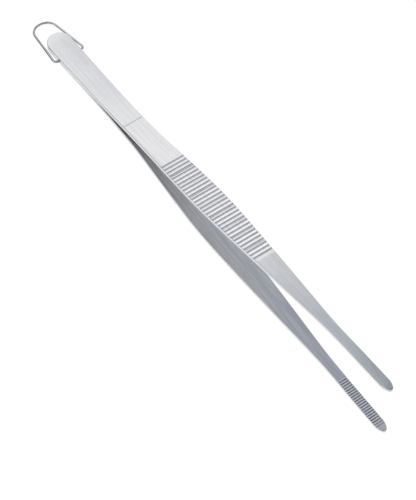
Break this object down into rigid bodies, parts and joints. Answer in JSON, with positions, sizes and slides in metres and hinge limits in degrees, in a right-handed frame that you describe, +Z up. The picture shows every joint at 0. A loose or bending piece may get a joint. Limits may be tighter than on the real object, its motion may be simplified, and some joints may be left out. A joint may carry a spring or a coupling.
{
  "type": "kitchen tongs",
  "caption": "Long tweezer-type kitchen tongs: sprung steel arms welded at the heel, with a grooved finger grip, notched tips and a swinging wire loop for hanging.",
  "frame": {"origin": "on the surface that the tongs lie on, under the middle of their whole length and width", "axes": "+X along the tongs, from the welded heel to the tips; +Y across them, square to the way the arms close; +Z up, from the arm that they lie on to the other arm"},
  "size_m": [0.313, 0.0206, 0.0428],
  "materials": {
    "arm_steel": "stainless strip, brushed lengthwise, satin",
    "loop_wire": "drawn stainless spring wire, bright"
  },
  "bodies": {
    "heel": {"upper_heel": "arm_steel", "lower_heel": "arm_steel"},
    "upper_arm": {"upper_blade": "arm_steel"},
    "lower_arm": {"lower_blade": "arm_steel"},
    "loop": {"hanging_loop": "loop_wire"}
  },
  "joints": [
    {"name": "upper_arm_flex", "type": "hinge", "parent": "heel", "child": "upper_arm", "pos_m": [-0.06675, 0, 0.00901], "axis": [0, 1, 0], "range_deg": [0, 4.76], "stiffness_Nm_per_rad": 12},
    {"name": "lower_arm_flex", "type": "hinge", "parent": "heel", "child": "lower_arm", "pos_m": [-0.06652, 0, 0.00556], "axis": [0, -1, 0], "range_deg": [0, 4.76], "stiffness_Nm_per_rad": 12},
    {"name": "loop_swing", "type": "hinge", "parent": "heel", "child": "loop", "pos_m": [-0.12751, 0, 0.00327], "axis": [0, 1, 0], "range_deg": [-168, 170]}
  ],
  "couplings": [
    {"joint": "lower_arm_flex", "follows": "upper_arm_flex", "ratio": 1}
  ]
}
